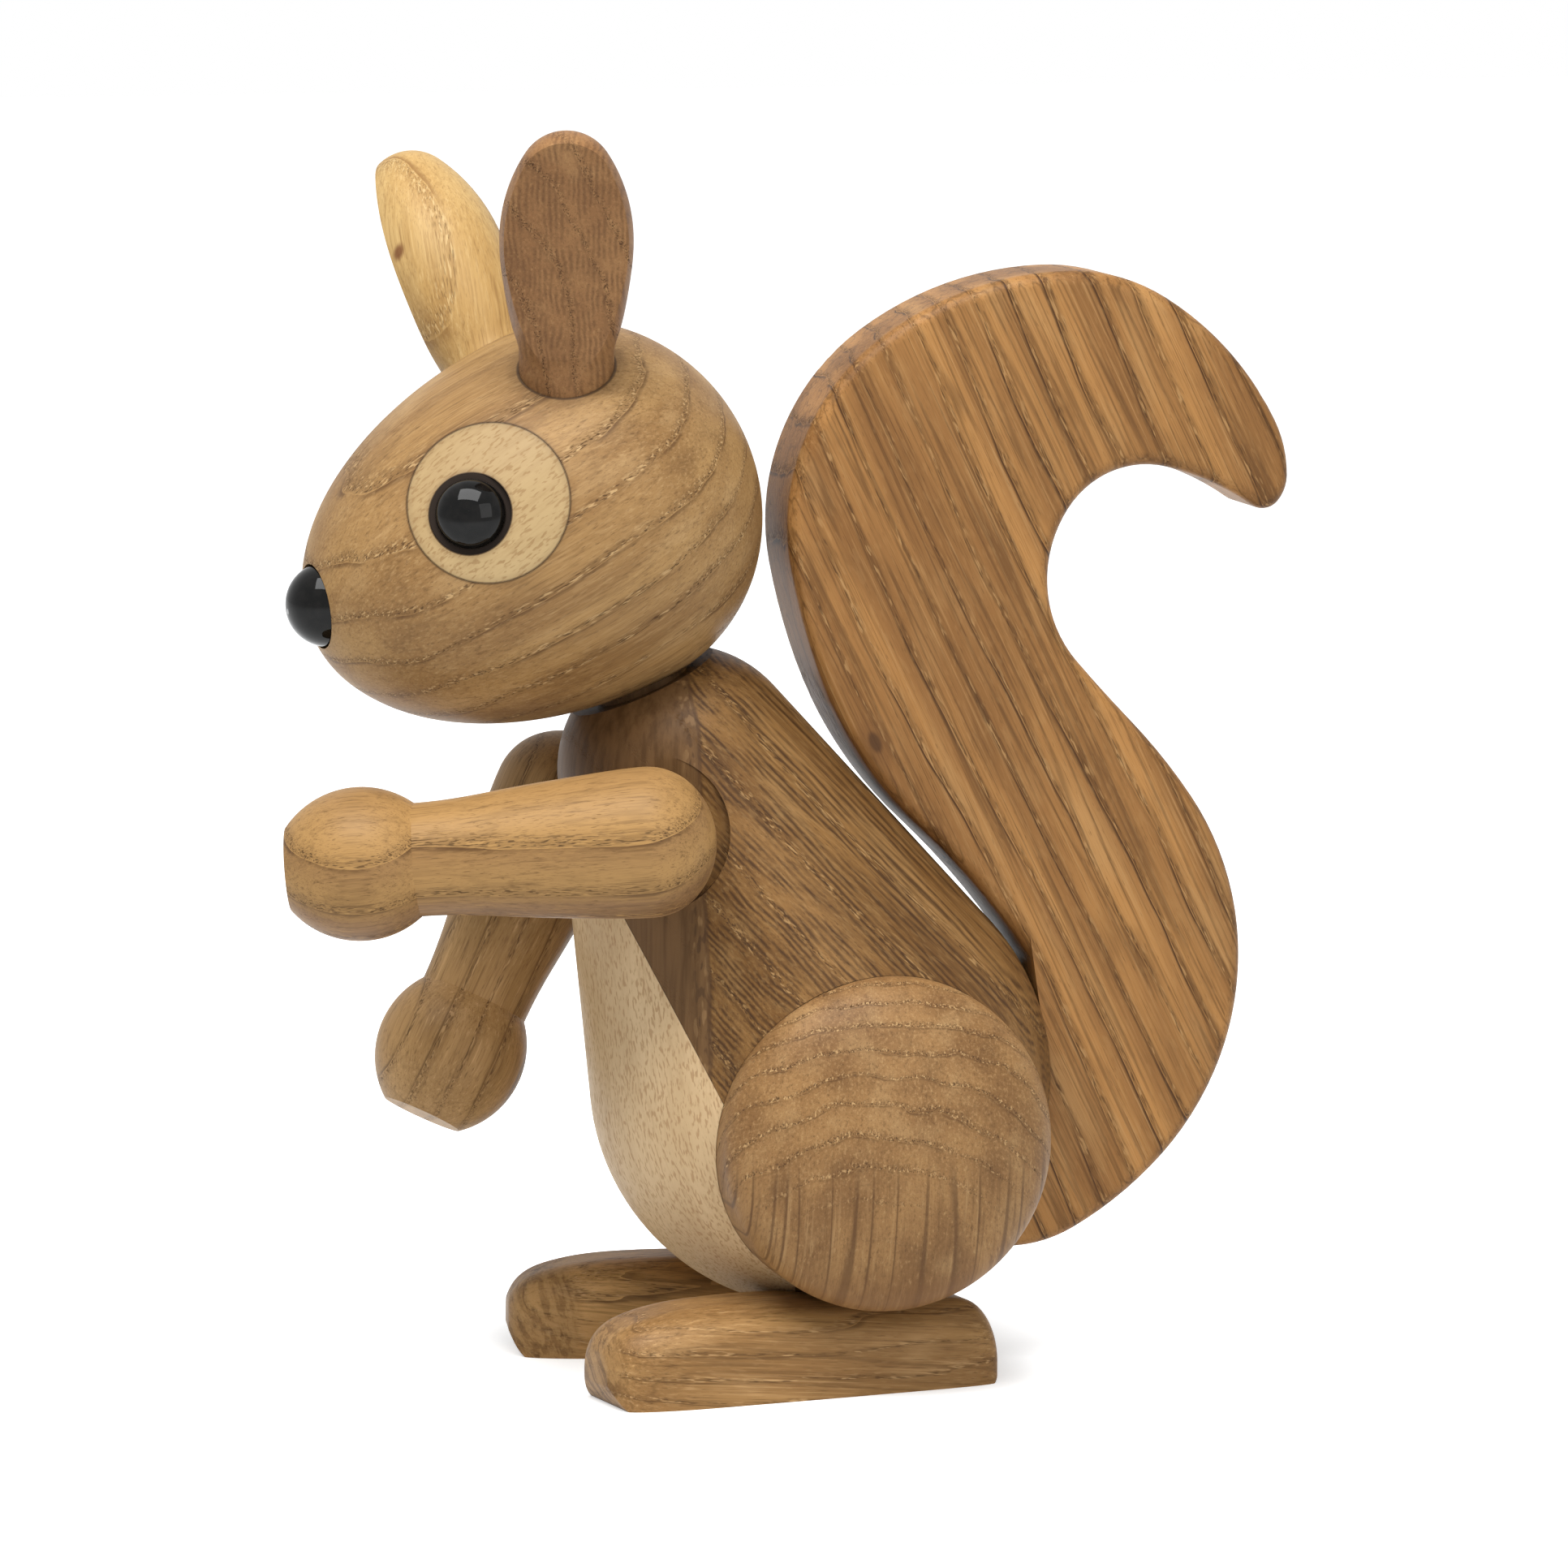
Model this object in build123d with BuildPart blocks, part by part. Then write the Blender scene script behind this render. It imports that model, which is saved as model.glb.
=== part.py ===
# Wooden squirrel figurine, sitting up on two feet, with a turning head and two swinging arms.
# Millimetres. +Z is up, the nose points to -Y, the squirrel's left side is +X.
# The origin is on the table, under the middle of the figure.

import os
from math import asin, atan2, cos, degrees, radians, sin

from build123d import *

# Fits and cuts
glue_gap = 0.05
running_clearance = 0.05
sliding_gap = 0.3
neck_gap = 0.2
cut_overrun = 12.0

# Body: a pear turned on an axis that leans forward
ball_radius = 29.3
ball_clearance = 7.85
ball_setback = 6.2
crown_radius = 15.7
crown_rise = 43.7
body_lean = 24.3

# Belly: the pale front of the pear, cut off along a plane beside the turning axis
belly_offset = 16.4

# Neck: a peg along the turning axis, and a shallow dish for the head to turn in
neck_peg_radius = 6.0
neck_peg_in_body = 10.5
neck_peg_in_head = 15.0
seat_dish_radius = 60.0

# Head: an egg lying across the neck axis
egg_radius = 23.7
egg_front = 38.2
egg_rear = 22.2
egg_setback = 2.1
head_rise = 35.5
head_turn = 7.5
head_pitch = 1.2

# Eyes: a pale disc let into each cheek, with a shouldered bead in it
eye_disc_radius = 10.1
eye_disc_depth = 5.0
eye_disc_forward = 16.6
eye_disc_spread = 18.7
eye_disc_up = 9.5
eye_yaw = 18.0
eye_pitch = 18.0
bead_forward = 19.1
bead_spread = 18.0
bead_up = 8.9
bead_radius = 5.1
bead_depth = 4.0
bead_sink = 0.3
pupil_radius = 4.35
pupil_height = 3.0

# Nose: a round-ended plug let into the front of the egg
nose_radius = 5.3
nose_depth = 4.5
nose_forward = 35.3
nose_up = 3.3
nose_pitch = 15.3

# Ears: turned drops with a flat outer face, each standing in a round hole
ear_length = 33.0
ear_radius = 8.25
ear_widest = 18.0
ear_tip_radius = 6.0
ear_stem_radius = 5.9
ear_stem_length = 1.5
ear_in_head = 5.5
ear_flat_lean = 8.5
ear_spread = 13.0
ear_forward = -1.5
ear_up = 19.8
ear_splay = 31.6
left_ear_rake = 10.0
right_ear_rake = 7.3
left_ear_yaw = 22.0
right_ear_yaw = 48.0
right_ear_sink = 2.0
right_ear_shift = 1.2

# Arms: turned, with a ball hand, a waist at the wrist and a rounded shoulder
shoulder_spread = 22.8
shoulder_front = 21.5
shoulder_rise = 33.75
shoulder_toe_in = 17.0
shoulder_radius = 9.35
arm_flat = 9.0
shoulder_relief = 0.35
arm_end = 8.4
wrist_reach = 28.7
wrist_radius = 7.05
hand_reach = 36.2
hand_radius = 9.55
tip_reach = 44.8
tip_radius = 5.2
left_arm_angle = 4.7
right_arm_angle = 61.5
shoulder_peg_radius = 3.0
shoulder_peg_in_arm = 5.0
shoulder_peg_in_body = 9.0

# Thighs: thick domed buttons let into round seats in the sides of the body
thigh_radius = 21.1
thigh_seat = 17.5
thigh_wall = 7.5
thigh_dome = 9.0
thigh_back = 8.4
thigh_height = 32.3
thigh_dowel_radius = 3.0
thigh_dowel_reach = 7.0

# Feet: flat-soled bars that turn out, hollowed on top where body and thigh rest
foot_length = 52.4
foot_width = 16.0
foot_height = 12.9
foot_spread = 15.7
foot_middle = 1.9
right_foot_forward = 2.4
foot_toe_out = 9.4
foot_dowel_radius = 2.5
foot_dowel_spread = 12.5
foot_dowel_back = 8.5
foot_dowel_in_foot = 6.0
foot_dowel_in_body = 10.0

# Tail: an S-shaped plank with rounded edges, housed in a shallow groove in the back
tail_thickness = 14.5
tail_depth = 65.5
tail_height = 124.3
tail_set_in = 35.1
tail_drop = 21.95
tail_rounding = 1.8
tail_start_angle = 123.63
groove_depth = 1.0
groove_top_angle = 17.0
groove_bottom_angle = -45.0
tail_leave_angle = 30.0
tail_stand_off = 0.8
tail_toe = 1.6
tail_dowel_radius = 3.0
tail_dowel_reach = 8.0
tail_dowel_angles = (8.0, -24.0)

# Outlines, as shares of the sizes that they follow
# Tail front edge, ends of arcs from the groove up to the top of the curl: share of depth, of height
tail_front_shares = (
    (0.2674, 0.4344),
    (0.0609, 0.6000),
    (0.0085, 0.7012),
    (0.1894, 0.9363),
    (0.5508, 0.9992),
)
# Tail curl, ends of arcs from the top round the outside to under the point
tail_curl_shares = (
    (0.7543, 0.9699),
    (0.9745, 0.8432),
    (1.0002, 0.7860),
    (0.9808, 0.7592),
    (0.9294, 0.7560),
)
# Tail back edge, ends of arcs round the crook and down to the toe
tail_back_shares = (
    (0.7565, 0.7973),
    (0.5589, 0.7564),
    (0.5785, 0.6010),
    (0.6861, 0.5391),
    (0.8098, 0.4592),
    (0.7543, 0.0890),
    (0.5729, 0.0161),
)
# Foot sections from toe to heel: share of length, of width, then of height for the bottom and the top
foot_shares = (
    (0.000, 0.46, 0.24, 0.52),
    (0.018, 0.66, 0.09, 0.65),
    (0.050, 0.82, -0.04, 0.76),
    (0.110, 0.93, -0.10, 0.85),
    (0.190, 0.99, -0.10, 0.91),
    (0.290, 1.00, -0.10, 0.94),
    (0.500, 1.00, -0.10, 0.94),
    (0.720, 0.98, -0.10, 0.88),
    (0.900, 0.95, -0.10, 0.83),
    (0.965, 0.90, -0.05, 0.75),
    (0.992, 0.82, 0.03, 0.61),
    (1.000, 0.70, 0.12, 0.48),
)
foot_top_share = 0.34
foot_sole_share = 0.15
# Ear between its stem and its widest place: share of radius, share of the widest height
ear_shares = (
    (0.800, 0.290),
    (0.915, 0.570),
    (0.983, 0.830),
)
# Arm between shoulder and wrist: share of the shoulder radius, share of the wrist reach
forearm_shares = (
    (0.970, 0.190),
    (0.850, 0.605),
)

# Steps round a quarter of an oval outline
outline_angles = (4.0, 10.0, 20.0, 35.0, 50.0, 65.0, 80.0)

os.makedirs("parts", exist_ok=True)


def save(piece, name):
    piece.part.label = name
    export_step(piece.part, "parts/" + name + ".step")


ball_height = ball_clearance + ball_radius
shoulder_height = ball_height + shoulder_rise
tail_front = ball_setback + ball_radius - tail_set_in
tail_bottom = ball_height - tail_drop

# Body frame: local X points to the back, local Y runs up the turning axis, local Z is the left side
lean_cos = cos(radians(body_lean))
lean_sin = sin(radians(body_lean))
body_plane = Plane(
    origin=(0, ball_setback, ball_height),
    x_dir=(0, lean_cos, lean_sin),
    z_dir=(1, 0, 0),
)
body_axis = Axis(body_plane.origin, body_plane.y_dir)
body_flare = degrees(asin((ball_radius - crown_radius) / crown_rise))
crown_centre = body_plane.from_local_coords((0, crown_rise, 0))
belly_plane = Plane(
    origin=body_plane.from_local_coords((-belly_offset, 0, 0)),
    x_dir=(1, 0, 0),
    z_dir=-body_plane.x_dir,
)

# Neck frame: at the crown, local Z up the turning axis, turned with the head
neck_plane = Plane(origin=crown_centre, x_dir=(1, 0, 0), z_dir=body_plane.y_dir)
turn_cos = cos(radians(head_turn))
turn_sin = sin(radians(head_turn))
head_plane = Plane(
    origin=crown_centre,
    x_dir=neck_plane.x_dir * turn_cos + neck_plane.y_dir * turn_sin,
    z_dir=neck_plane.z_dir,
)
# Head frame: at the widest place of the egg, local X to the nose, local Y up, local Z to the right
head_middle = Plane(
    origin=head_plane.from_local_coords((0, egg_setback, head_rise)),
    x_dir=head_plane.z_dir * sin(radians(head_pitch)) - head_plane.y_dir * cos(radians(head_pitch)),
    z_dir=-head_plane.x_dir,
)
head_axis = Axis(head_middle.origin, head_middle.x_dir)
egg_plane = Plane(
    origin=head_middle.origin,
    x_dir=head_middle.x_dir,
    z_dir=head_middle.y_dir - head_middle.z_dir,
)
seat_height = head_rise - egg_radius - neck_gap


def head_point(forward, left, up):
    return head_middle.from_local_coords((forward, up, -left))


def head_direction(forward, left, up):
    return head_middle.x_dir * forward - head_middle.z_dir * left + head_middle.y_dir * up


def shoulder_plane(side):
    # Local Z is the peg's way out, local X is the arm held level
    toe_cos = cos(radians(shoulder_toe_in))
    toe_sin = sin(radians(shoulder_toe_in))
    return Plane(
        origin=(side * shoulder_spread, -shoulder_front, shoulder_height),
        x_dir=(-side * toe_sin, -toe_cos, 0),
        z_dir=(side * toe_cos, -toe_sin, 0),
    )


def thigh_plane(side):
    # Local X points out of the side, local Y up
    return Plane(
        origin=(0, thigh_back, thigh_height),
        x_dir=(side, 0, 0),
        z_dir=(0, -side, 0),
    )


def foot_plane(side):
    # Across the middle of the foot, local Y up, local Z from toe to heel
    out_cos = cos(radians(foot_toe_out))
    out_sin = sin(radians(foot_toe_out))
    forward = right_foot_forward if side < 0 else 0
    return Plane(
        origin=(side * foot_spread, -foot_middle - forward, 0),
        x_dir=(-out_cos, -side * out_sin, 0),
        z_dir=(-side * out_sin, out_cos, 0),
    )


def tail_dowel_plane(angle):
    # On the floor of the groove, local Z straight out of the ball
    out = (0, cos(radians(angle)), sin(radians(angle)))
    floor = ball_radius - groove_depth
    return Plane(
        origin=body_plane.origin + Vector(*out) * floor,
        x_dir=(1, 0, 0),
        z_dir=out,
    )


def pear_half(extra):
    # Half outline of the pear, grown by a gap
    ball = ball_radius + extra
    crown = crown_radius + extra
    with BuildSketch(body_plane) as half:
        with BuildLine():
            low = CenterArc((0, 0), ball, -90, 90 + body_flare)
            high = CenterArc((0, crown_rise), crown, body_flare, 90 - body_flare)
            Line(low @ 1, high @ 0)
            Line(high @ 1, low @ 0)
        make_face()
    return half.sketch


def egg_half():
    # Half outline of the egg, round behind and a long quarter ellipse in front
    rear_joint = (-egg_rear * cos(radians(45)), egg_radius * sin(radians(45)))
    front_points = [(0, egg_radius)]
    for angle in reversed(outline_angles):
        front_points.append((egg_front * cos(radians(angle)), egg_radius * sin(radians(angle))))
    front_points.append((egg_front, 0))
    with BuildSketch(egg_plane) as half:
        with BuildLine():
            rear_low = TangentArc((-egg_rear, 0), rear_joint, tangent=(0, 1))
            TangentArc(rear_low @ 1, (0, egg_radius), tangent=rear_low % 1)
            Spline(*front_points, tangents=((1, 0), (0, -1)))
            Line((egg_front, 0), (-egg_rear, 0))
        make_face()
    return half.sketch


def thigh_half(side, extra):
    # Half outline of the button, grown by a gap
    floor = thigh_seat + glue_gap - extra
    rim = thigh_seat + thigh_wall
    radius = thigh_radius + extra
    with BuildSketch(thigh_plane(side)) as half:
        with BuildLine():
            dome = EllipticalCenterArc((rim, 0), thigh_dome + extra, radius, 0, arc_size=90)
            Polyline(dome @ 1, (floor, radius), (floor, 0), dome @ 0)
        make_face()
    return half.sketch


def tail_point(share):
    return (tail_front + share[0] * tail_depth, tail_bottom + share[1] * tail_height)


def ball_point(angle, radius):
    return (
        ball_setback + radius * cos(radians(angle)),
        ball_height + radius * sin(radians(angle)),
    )


def groove_sector(extra):
    # Side view of the groove: an even floor that runs out at a slant under the leaving tail
    floor = ball_radius - groove_depth - extra
    rim = ball_radius + cut_overrun
    spread = degrees(extra / floor)
    top = groove_top_angle + spread
    leave = tail_leave_angle + spread
    bottom = groove_bottom_angle - spread
    with BuildSketch(Plane.YZ) as sector:
        with BuildLine():
            inner = CenterArc((ball_setback, ball_height), floor, bottom, top - bottom)
            outer = CenterArc((ball_setback, ball_height), rim, bottom, leave - bottom)
            Line(inner @ 0, outer @ 0)
            Polyline(inner @ 1, ball_point(leave, ball_radius + tail_stand_off), outer @ 1)
        make_face()
    return sector.sketch


sides = ((1, "left"), (-1, "right"))

# Body
with BuildPart() as body:
    revolve(pear_half(0), axis=body_axis)
    # Front cut away for the belly
    split(bisect_by=belly_plane.offset(-glue_gap), keep=Keep.BOTTOM)
    # Dish on top, hollow along the neck axis
    with Locations(crown_centre + body_plane.y_dir * (seat_height + seat_dish_radius)):
        Sphere(seat_dish_radius, mode=Mode.SUBTRACT)
    with BuildSketch(neck_plane.offset(seat_height - neck_peg_in_body - glue_gap)):
        Circle(neck_peg_radius + glue_gap)
    extrude(amount=neck_peg_in_body + cut_overrun, mode=Mode.SUBTRACT)
    for side, side_name in sides:
        # Flat and bore for the shoulder
        shoulder = shoulder_plane(side)
        with BuildSketch(shoulder.offset(-arm_flat - sliding_gap)):
            Circle(shoulder_radius + shoulder_relief)
        extrude(amount=arm_flat + cut_overrun, mode=Mode.SUBTRACT)
        with BuildSketch(shoulder.offset(-arm_flat - shoulder_peg_in_body - sliding_gap)):
            Circle(shoulder_peg_radius + running_clearance)
        extrude(amount=shoulder_peg_in_body + cut_overrun, mode=Mode.SUBTRACT)
        # Round seat and dowel hole for the thigh
        with BuildSketch(Plane.YZ.offset(side * thigh_seat)):
            with Locations((thigh_back, thigh_height)):
                Circle(thigh_radius + glue_gap)
        extrude(amount=side * (thigh_wall + cut_overrun), mode=Mode.SUBTRACT)
        with BuildSketch(Plane.YZ.offset(side * (thigh_seat - thigh_dowel_reach - glue_gap))):
            with Locations((thigh_back, thigh_height)):
                Circle(thigh_dowel_radius + glue_gap)
        extrude(amount=side * (thigh_dowel_reach + cut_overrun), mode=Mode.SUBTRACT)
        # Dowel hole for the foot
        with BuildSketch(Plane.XY):
            with Locations((side * foot_dowel_spread, foot_dowel_back)):
                Circle(foot_dowel_radius + glue_gap)
        extrude(amount=foot_height + foot_dowel_in_body + glue_gap, mode=Mode.SUBTRACT)
    # Groove and dowel holes for the tail
    extrude(
        groove_sector(glue_gap),
        amount=tail_thickness / 2 + glue_gap,
        both=True,
        mode=Mode.SUBTRACT,
    )
    for angle in tail_dowel_angles:
        with BuildSketch(tail_dowel_plane(angle).offset(-tail_dowel_reach - glue_gap)):
            Circle(tail_dowel_radius + glue_gap)
        extrude(amount=tail_dowel_reach + cut_overrun, mode=Mode.SUBTRACT)
save(body, "body")

# Belly
with BuildPart() as belly:
    revolve(pear_half(0), axis=body_axis)
    split(bisect_by=belly_plane, keep=Keep.TOP)
    for side, side_name in sides:
        with BuildSketch(Plane.YZ.offset(side * thigh_seat)):
            with Locations((thigh_back, thigh_height)):
                Circle(thigh_radius + glue_gap)
        extrude(amount=side * (thigh_wall + cut_overrun), mode=Mode.SUBTRACT)
save(belly, "belly")

# Neck peg
with BuildPart() as neck_peg:
    with BuildSketch(neck_plane.offset(seat_height - neck_peg_in_body)):
        Circle(neck_peg_radius)
    extrude(amount=neck_peg_in_body + neck_peg_in_head)
save(neck_peg, "neck_peg")

# Thighs, their dowels, feet and their dowels
for side, side_name in sides:
    thigh_axis = Axis(thigh_plane(side).origin, thigh_plane(side).x_dir)
    with BuildPart() as thigh:
        revolve(thigh_half(side, 0), axis=thigh_axis)
        with BuildSketch(Plane.YZ.offset(side * thigh_seat)):
            with Locations((thigh_back, thigh_height)):
                Circle(thigh_dowel_radius + glue_gap)
        extrude(amount=side * (thigh_dowel_reach + glue_gap), mode=Mode.SUBTRACT)
    save(thigh, "thigh_" + side_name)

    with BuildPart() as thigh_dowel:
        with BuildSketch(Plane.YZ.offset(side * thigh_seat)):
            with Locations((thigh_back, thigh_height)):
                Circle(thigh_dowel_radius)
        extrude(amount=thigh_dowel_reach, both=True)
    save(thigh_dowel, "thigh_dowel_" + side_name)

    with BuildPart() as foot:
        for along, across, low, high in foot_shares:
            with BuildSketch(foot_plane(side).offset(foot_length * (along - 0.5))):
                with Locations((0, foot_height * low)):
                    section = Rectangle(
                        foot_width * across,
                        foot_height * (high - low),
                        align=(Align.CENTER, Align.MIN),
                    )
                corners = section.vertices().group_by(Axis.Y)
                fillet(corners[-1], radius=foot_width * across * foot_top_share)
                fillet(corners[0], radius=foot_width * across * foot_sole_share)
        loft()
        # Flat sole
        split(bisect_by=Plane.XY, keep=Keep.TOP)
        # Hollows for the body and the thigh, and the dowel hole
        revolve(pear_half(glue_gap), axis=body_axis, mode=Mode.SUBTRACT)
        revolve(thigh_half(side, glue_gap), axis=thigh_axis, mode=Mode.SUBTRACT)
        with BuildSketch(Plane.XY.offset(foot_height - foot_dowel_in_foot - glue_gap)):
            with Locations((side * foot_dowel_spread, foot_dowel_back)):
                Circle(foot_dowel_radius + glue_gap)
        extrude(amount=foot_dowel_in_foot + cut_overrun, mode=Mode.SUBTRACT)
    save(foot, "foot_" + side_name)

    with BuildPart() as foot_dowel:
        with BuildSketch(Plane.XY.offset(foot_height - foot_dowel_in_foot)):
            with Locations((side * foot_dowel_spread, foot_dowel_back)):
                Circle(foot_dowel_radius)
        extrude(amount=foot_dowel_in_foot + foot_dowel_in_body)
    save(foot_dowel, "foot_dowel_" + side_name)

# Tail
tail_top = ball_point(tail_leave_angle, ball_radius + tail_stand_off)
tail_low = ball_point(groove_bottom_angle, ball_radius + tail_toe)
with BuildPart() as tail:
    with BuildSketch(Plane.YZ):
        with BuildLine():
            floor_radius = ball_radius - groove_depth
            seat = CenterArc(
                (ball_setback, ball_height),
                floor_radius,
                groove_bottom_angle,
                groove_top_angle - groove_bottom_angle,
            )
            rim_points = [tail_point(share) for share in tail_front_shares]
            rim_points += [tail_point(share) for share in tail_curl_shares]
            rim_points += [tail_point(share) for share in tail_back_shares]
            rim_points += [tail_low]
            arc_start = tail_top
            arc_way = (cos(radians(tail_start_angle)), sin(radians(tail_start_angle)))
            for arc_end in rim_points:
                rim_arc = TangentArc(arc_start, arc_end, tangent=arc_way)
                arc_start = rim_arc @ 1
                arc_way = rim_arc % 1
            Line(seat @ 1, tail_top)
            Line(tail_low, seat @ 0)
        make_face()
    extrude(amount=tail_thickness / 2, both=True)
    flat_faces = tail.faces().filter_by(Plane.YZ)
    rim_edges = flat_faces.edges().filter_by(GeomType.CIRCLE)
    rim_edges = rim_edges.filter_by(lambda edge: abs(edge.radius - floor_radius) > glue_gap)
    fillet(rim_edges, radius=tail_rounding)
    for angle in tail_dowel_angles:
        with BuildSketch(tail_dowel_plane(angle).offset(-tail_dowel_reach)):
            Circle(tail_dowel_radius + glue_gap)
        extrude(amount=2 * tail_dowel_reach + glue_gap, mode=Mode.SUBTRACT)
save(tail, "tail")

for angle, dowel_name in zip(tail_dowel_angles, ("tail_dowel_upper", "tail_dowel_lower")):
    with BuildPart() as tail_dowel:
        with BuildSketch(tail_dowel_plane(angle)):
            Circle(tail_dowel_radius)
        extrude(amount=tail_dowel_reach, both=True)
    save(tail_dowel, dowel_name)


def eye_disc_plane(side):
    return Plane(
        origin=head_point(eye_disc_forward, side * eye_disc_spread, eye_disc_up),
        x_dir=head_middle.y_dir,
        z_dir=eye_direction(side),
    )


def eye_direction(side):
    out = cos(radians(eye_pitch))
    return head_direction(
        sin(radians(eye_yaw)) * out,
        side * cos(radians(eye_yaw)) * out,
        sin(radians(eye_pitch)),
    )


def bead_plane(side):
    return Plane(
        origin=head_point(bead_forward, side * bead_spread, bead_up),
        x_dir=head_middle.y_dir,
        z_dir=eye_direction(side),
    )


def ear_plane(side):
    # At the surface of the egg, local Z along the ear, local X towards its flat
    rake = radians(left_ear_rake if side > 0 else right_ear_rake)
    yaw = radians(left_ear_yaw if side > 0 else right_ear_yaw)
    sink = 0 if side > 0 else right_ear_sink
    forward = ear_forward if side > 0 else ear_forward + right_ear_shift
    splay = radians(ear_splay)
    along = head_direction(-sin(rake), side * sin(splay) * cos(rake), cos(splay) * cos(rake))
    outward = head_direction(sin(yaw), side * cos(yaw), 0)
    across = along.cross(outward)
    return Plane(
        origin=head_point(forward, side * ear_spread, ear_up) - along * sink,
        x_dir=across.cross(along),
        z_dir=along,
    )


nose_plane = Plane(
    origin=head_point(nose_forward, 0, nose_up),
    x_dir=head_middle.z_dir,
    z_dir=head_direction(cos(radians(nose_pitch)), 0, sin(radians(nose_pitch))),
)

# Head
with BuildPart() as head:
    revolve(egg_half(), axis=head_axis)
    with BuildSketch(nose_plane.offset(-nose_depth - glue_gap)):
        Circle(nose_radius + glue_gap)
    extrude(amount=nose_depth + cut_overrun, mode=Mode.SUBTRACT)
    with BuildSketch(neck_plane):
        Circle(neck_peg_radius + running_clearance)
    extrude(amount=seat_height + neck_peg_in_head + sliding_gap, mode=Mode.SUBTRACT)
    for side, side_name in sides:
        with BuildSketch(eye_disc_plane(side).offset(-eye_disc_depth - glue_gap)):
            Circle(eye_disc_radius + glue_gap)
        extrude(amount=eye_disc_depth + cut_overrun, mode=Mode.SUBTRACT)
        with BuildSketch(ear_plane(side).offset(-ear_in_head - glue_gap)):
            Circle(ear_stem_radius + glue_gap)
        extrude(amount=ear_in_head + cut_overrun, mode=Mode.SUBTRACT)
save(head, "head")

# Nose
with BuildPart() as nose:
    with BuildSketch(Plane(origin=nose_plane.origin, x_dir=nose_plane.z_dir, z_dir=nose_plane.x_dir)):
        with BuildLine():
            dome = CenterArc((0, 0), nose_radius, 0, 90)
            Polyline(dome @ 1, (-nose_depth, nose_radius), (-nose_depth, 0), dome @ 0)
        make_face()
    revolve(axis=Axis(nose_plane.origin, nose_plane.z_dir))
save(nose, "nose")

# Eyes and ears
for side, side_name in sides:
    with BuildPart() as eye_disc:
        revolve(egg_half(), axis=head_axis)
        with BuildSketch(eye_disc_plane(side).offset(-eye_disc_depth)):
            Circle(eye_disc_radius)
        extrude(amount=eye_disc_depth + cut_overrun, mode=Mode.INTERSECT)
        with BuildSketch(bead_plane(side).offset(-bead_depth - glue_gap)):
            Circle(bead_radius + glue_gap)
        extrude(amount=bead_depth + cut_overrun, mode=Mode.SUBTRACT)
    save(eye_disc, "eye_disc_" + side_name)

    socket = bead_plane(side)
    with BuildPart() as eye:
        with BuildSketch(Plane(origin=socket.origin, x_dir=socket.z_dir, z_dir=socket.x_dir)):
            with BuildLine():
                dome = EllipticalCenterArc((-bead_sink, 0), pupil_height, pupil_radius, 0, arc_size=90)
                Polyline(
                    dome @ 1,
                    (-bead_sink, bead_radius),
                    (-bead_depth, bead_radius),
                    (-bead_depth, 0),
                    dome @ 0,
                )
            make_face()
        revolve(axis=Axis(socket.origin, socket.z_dir))
    save(eye, "eye_" + side_name)

    # Flank arc from the widest place, running smoothly into the round tip
    standing = ear_plane(side)
    ear_rise = ear_length - ear_tip_radius - ear_widest
    ear_slack = ear_radius - ear_tip_radius
    ear_flank_radius = (ear_radius**2 + ear_rise**2 - ear_tip_radius**2) / (2 * ear_slack)
    ear_flank_turn = degrees(atan2(ear_rise, ear_flank_radius - ear_radius))
    with BuildPart() as ear:
        with BuildSketch(Plane(origin=standing.origin, x_dir=standing.x_dir, z_dir=-standing.y_dir)):
            with BuildLine():
                stem_top = (ear_stem_radius, ear_stem_length)
                leaf_points = [(ear_radius * out, ear_widest * up) for out, up in ear_shares]
                flank = CenterArc((ear_radius - ear_flank_radius, ear_widest), ear_flank_radius, 0, ear_flank_turn)
                tip_centre = (0, ear_length - ear_tip_radius)
                tip = CenterArc(tip_centre, ear_tip_radius, ear_flank_turn, 90 - ear_flank_turn)
                Spline(stem_top, *leaf_points, flank @ 0, tangents=((0, 1), (0, 1)))
                Polyline(tip @ 1, (0, -ear_in_head), (ear_stem_radius, -ear_in_head), stem_top)
            make_face()
        revolve(axis=Axis(standing.origin, standing.z_dir))
        # Flat outer face, leaning in from the top of the hole
        lean = radians(ear_flat_lean)
        split(
            bisect_by=Plane(
                origin=standing.from_local_coords((ear_stem_radius, 0, 0)),
                x_dir=standing.y_dir,
                z_dir=standing.x_dir * cos(lean) + standing.z_dir * sin(lean),
            ),
            keep=Keep.BOTTOM,
        )
    save(ear, "ear_" + side_name)

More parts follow.
